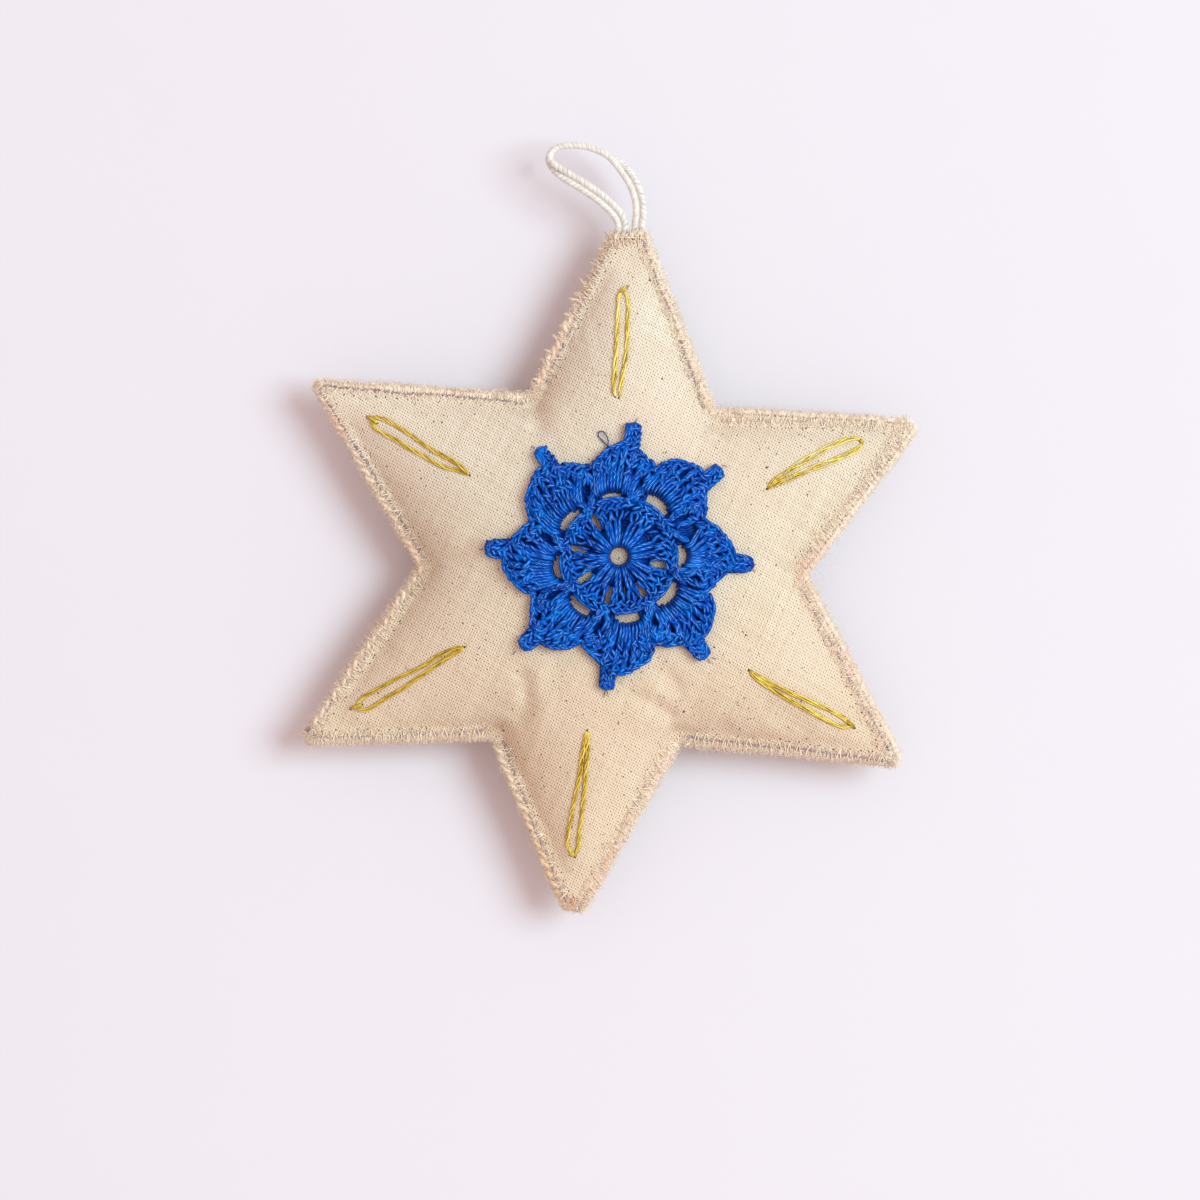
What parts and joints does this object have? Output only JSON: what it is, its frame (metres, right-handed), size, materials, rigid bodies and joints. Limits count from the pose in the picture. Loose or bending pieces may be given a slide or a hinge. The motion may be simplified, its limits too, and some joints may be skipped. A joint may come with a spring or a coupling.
{
  "type": "stuffed star ornament",
  "caption": "Stuffed six-pointed calico star with a crocheted snowflake motif, gold chain stitches, overcast rim and a braid hanging loop.",
  "frame": {"origin": "on the flat of the back where the star rests, under the middle of the star", "axes": "+Z out of the front face, +Y towards the hanging loop's tip, +X to the right seen from the front"},
  "size_m": [0.1126, 0.1433, 0.0223],
  "materials": {
    "calico_front": "unbleached plain weave cotton with seed flecks",
    "calico_back": "unbleached plain weave cotton with seed flecks",
    "fibrefill": "loose polyester fibre",
    "rim_thread": "overcast cotton thread, frayed",
    "chain_thread": "lilac grey sewing thread",
    "needle_thread": "cream sewing thread",
    "gold_thread": "twisted metallic embroidery thread",
    "crochet_cotton": "mercerised crochet cotton, slight lustre",
    "tacking_thread": "dark sewing thread",
    "soutache": "rayon braid, silky"
  },
  "bodies": {
    "star": {"front_panel": "calico_front", "back_panel": "calico_back", "fibrefill_core": "fibrefill", "edge_looper_wrap": "rim_thread", "edge_chain_thread": "chain_thread", "edge_needle_thread_front": "needle_thread", "edge_needle_thread_back": "needle_thread", "gold_stitch_top": "gold_thread", "gold_stitch_upper_left": "gold_thread", "gold_stitch_lower_left": "gold_thread", "gold_stitch_bottom": "gold_thread", "gold_stitch_lower_right": "gold_thread", "gold_stitch_upper_right": "gold_thread", "crochet_motif": "crochet_cotton", "tack_stitch_1": "tacking_thread", "tack_stitch_2": "tacking_thread", "tack_stitch_3": "tacking_thread", "tack_stitch_4": "tacking_thread", "tack_stitch_5": "tacking_thread", "tack_stitch_6": "tacking_thread", "tack_stitch_7": "tacking_thread", "tack_stitch_8": "tacking_thread", "loose_crochet_thread": "crochet_cotton", "loop_end_left": "soutache", "loop_end_right": "soutache"},
    "hanging_loop": {"hanging_loop": "soutache"}
  },
  "joints": [
    {"name": "loop_flop", "type": "hinge", "parent": "star", "child": "hanging_loop", "pos_m": [0.0008, 0.0655, 0.0086], "axis": [1, 0, 0], "range_deg": [-90, 90]}
  ]
}
